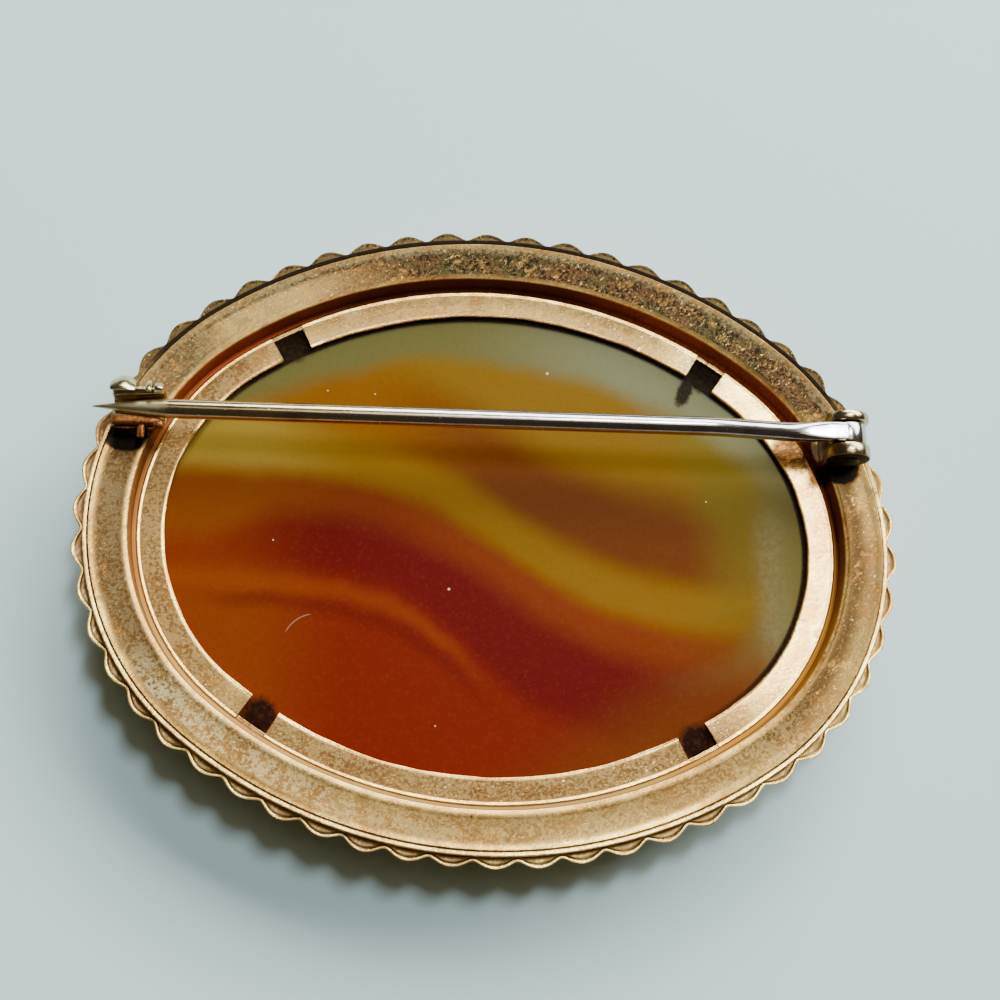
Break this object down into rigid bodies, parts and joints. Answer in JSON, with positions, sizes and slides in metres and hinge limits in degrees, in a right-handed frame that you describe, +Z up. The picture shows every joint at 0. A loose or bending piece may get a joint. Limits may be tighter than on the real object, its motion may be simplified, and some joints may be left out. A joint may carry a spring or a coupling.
{
  "type": "agate brooch",
  "caption": "Oval agate brooch lying face down: a scalloped gilt frame, a notched bezel round a flat stone back, a hinged pin and a turning safety catch.",
  "frame": {"origin": "middle of the oval, on the surface that the front frame rests on", "axes": "+X along the oval towards the hinge, +Y across it towards the pin's side, +Z up out of the back"},
  "size_m": [0.0476, 0.0376, 0.0088],
  "materials": {
    "gilt_frame": "worn gilt, with tarnish in the hollows of the scallops",
    "gilt_band": "satin gilt with fine scratches, speckled tarnish and bright raised edges",
    "gilt_bezel": "satin gilt with bright turned edges",
    "agate": "flat lapped back, banded grey-olive, amber, orange-brown and dark red",
    "gilt_fitting": "polished gilt worn to pale metal",
    "pin_steel": "drawn steel wire with a worn nickel finish"
  },
  "bodies": {
    "brooch": {"frame": "gilt_frame", "back_band": "gilt_band", "bezel": "gilt_bezel", "stone": "agate", "hinge_rivet": "gilt_fitting"},
    "pin": {"pin_stem": "pin_steel"},
    "catch": {"catch_rotor": "gilt_fitting"}
  },
  "joints": [
    {"name": "pin_hinge", "type": "hinge", "parent": "brooch", "child": "pin", "pos_m": [0.02029, 0.00686, 0.0074], "axis": [-0.0349, 0.9994, 0], "range_deg": [0, 135]},
    {"name": "catch_turn", "type": "hinge", "parent": "brooch", "child": "catch", "pos_m": [-0.02059, 0.00558, 0.0074], "axis": [-0.9994, -0.0349, 0], "range_deg": [0, 120]}
  ]
}
